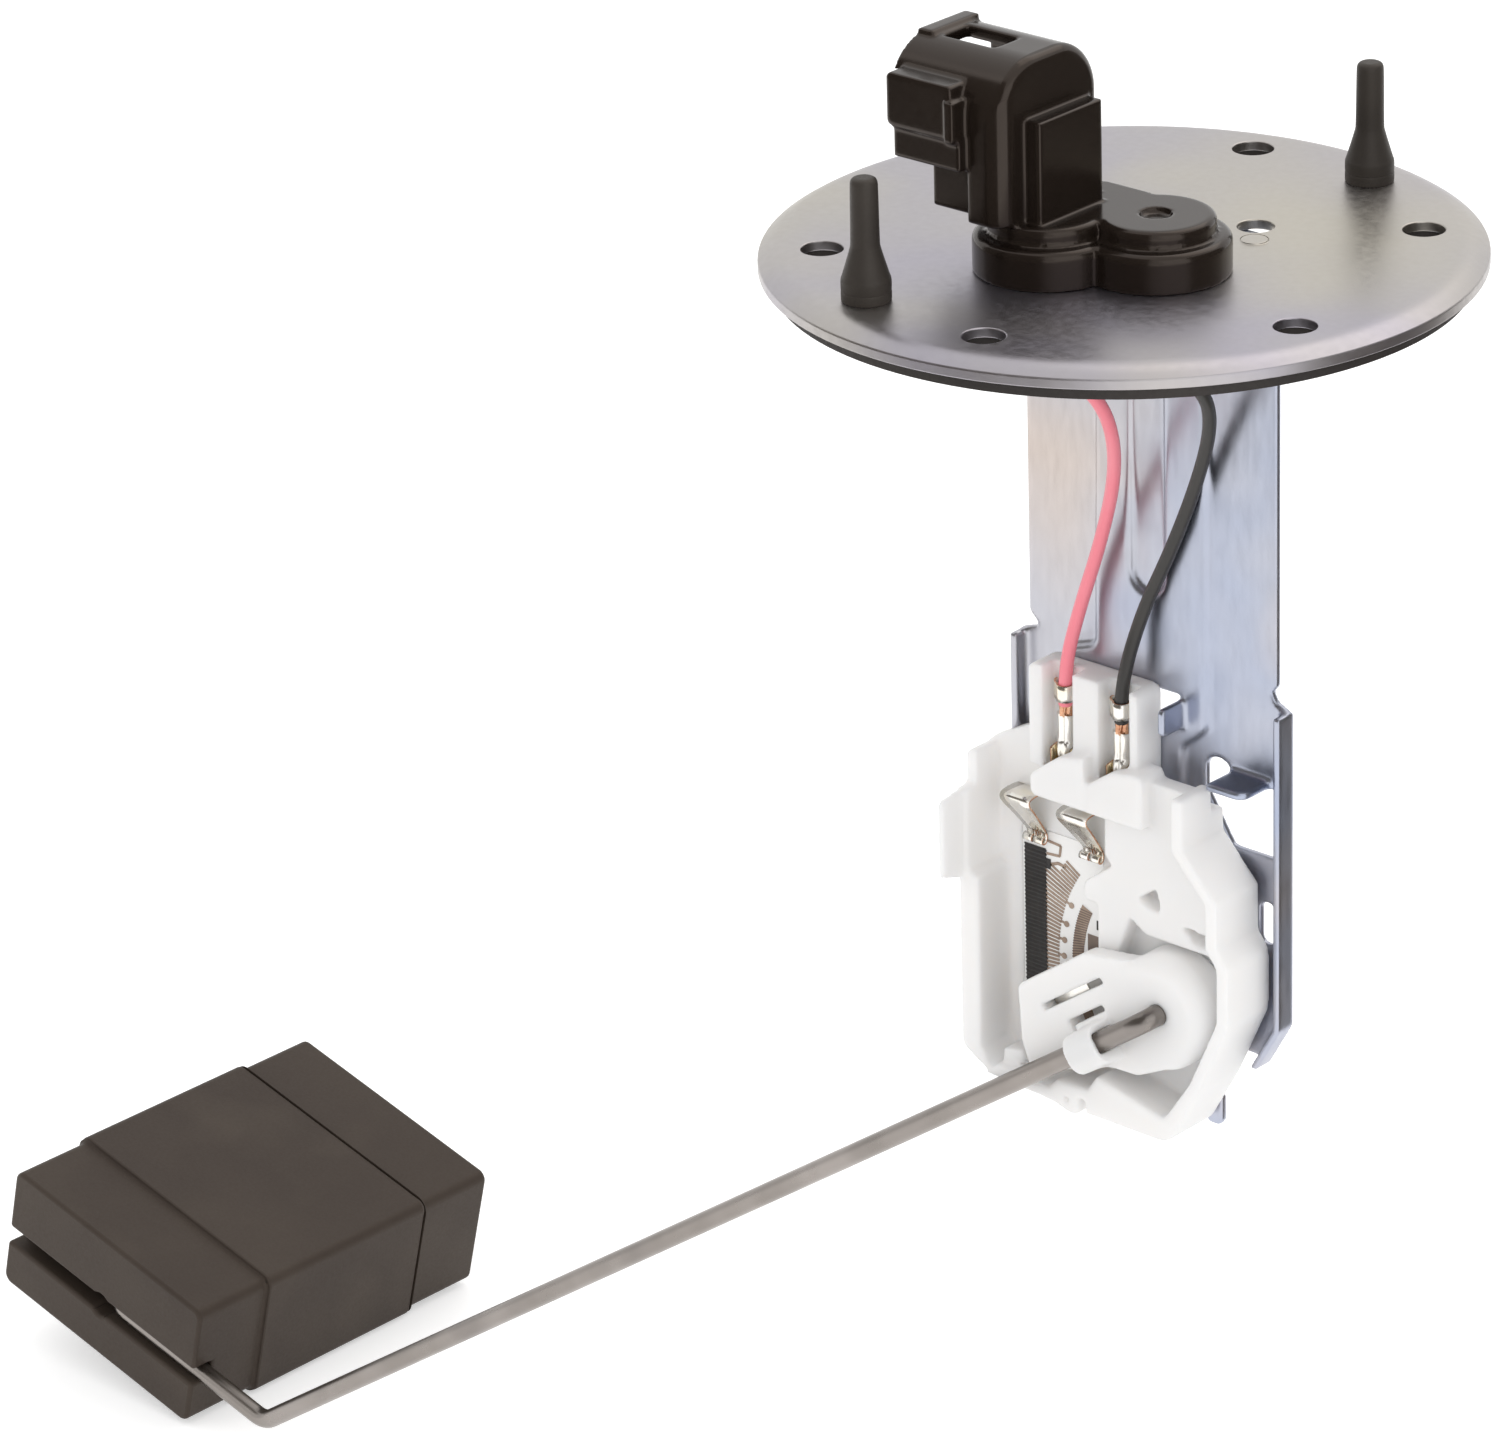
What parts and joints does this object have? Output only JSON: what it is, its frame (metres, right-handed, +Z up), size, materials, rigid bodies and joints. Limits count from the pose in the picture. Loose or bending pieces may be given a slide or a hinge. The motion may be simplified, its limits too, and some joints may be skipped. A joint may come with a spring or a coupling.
{
  "type": "fuel level sender",
  "caption": "Fuel level sender: a round cover plate with an electrical connector, a pressed bracket, a resistor card sensor and a long wire arm with a float.",
  "frame": {"origin": "centre of the bolt circle on the cover plate's underside", "axes": "+Z up out of the tank along the flange's axis, -Y towards the side the sensor faces, -X towards the float"},
  "size_m": [0.2622, 0.0965, 0.2543],
  "materials": {
    "plated_plate": "satin, zinc plated with a faint iridescence",
    "plated_bracket": "satin, zinc plated, bluish",
    "steel_wire": "smooth drawn stainless wire",
    "black_plastic": "glossy moulding",
    "acetal": "natural white moulding, slightly translucent",
    "gasket_rubber": "matt",
    "cap_rubber": "matt",
    "float_foam": "matt closed-cell nitrile",
    "contact_metal": "tinned, bright",
    "ceramic": "matt",
    "track": "printed conductor",
    "resistor_ink": "printed resistor, matt",
    "pink_insulation": "satin insulation",
    "black_insulation": "satin insulation"
  },
  "bodies": {
    "sender": {"cover_plate": "plated_plate", "gasket": "gasket_rubber", "stud_left": "steel_wire", "stud_right": "steel_wire", "stud_cap_left": "cap_rubber", "stud_cap_right": "cap_rubber", "connector_housing": "black_plastic", "connector_blade_left": "contact_metal", "connector_blade_right": "contact_metal", "terminal_post_left": "contact_metal", "terminal_post_right": "contact_metal", "lead_grommet_left": "black_plastic", "lead_grommet_right": "black_plastic", "bracket": "plated_bracket", "sensor_body": "acetal", "resistor_card": "ceramic", "card_resistor": "resistor_ink", "card_comb": "track", "card_ring": "track", "contact_clip_left": "contact_metal", "contact_clip_right": "contact_metal", "terminal_red": "contact_metal", "terminal_black": "contact_metal", "lead_red": "pink_insulation", "lead_black": "black_insulation"},
    "arm": {"rotor": "acetal", "wiper": "contact_metal", "float_arm": "steel_wire", "float": "float_foam"}
  },
  "joints": [
    {"name": "arm_swing", "type": "hinge", "parent": "sender", "child": "arm", "pos_m": [0.0087, 0, -0.1004], "axis": [0, 1, 0], "range_deg": [0, 49.5]}
  ]
}
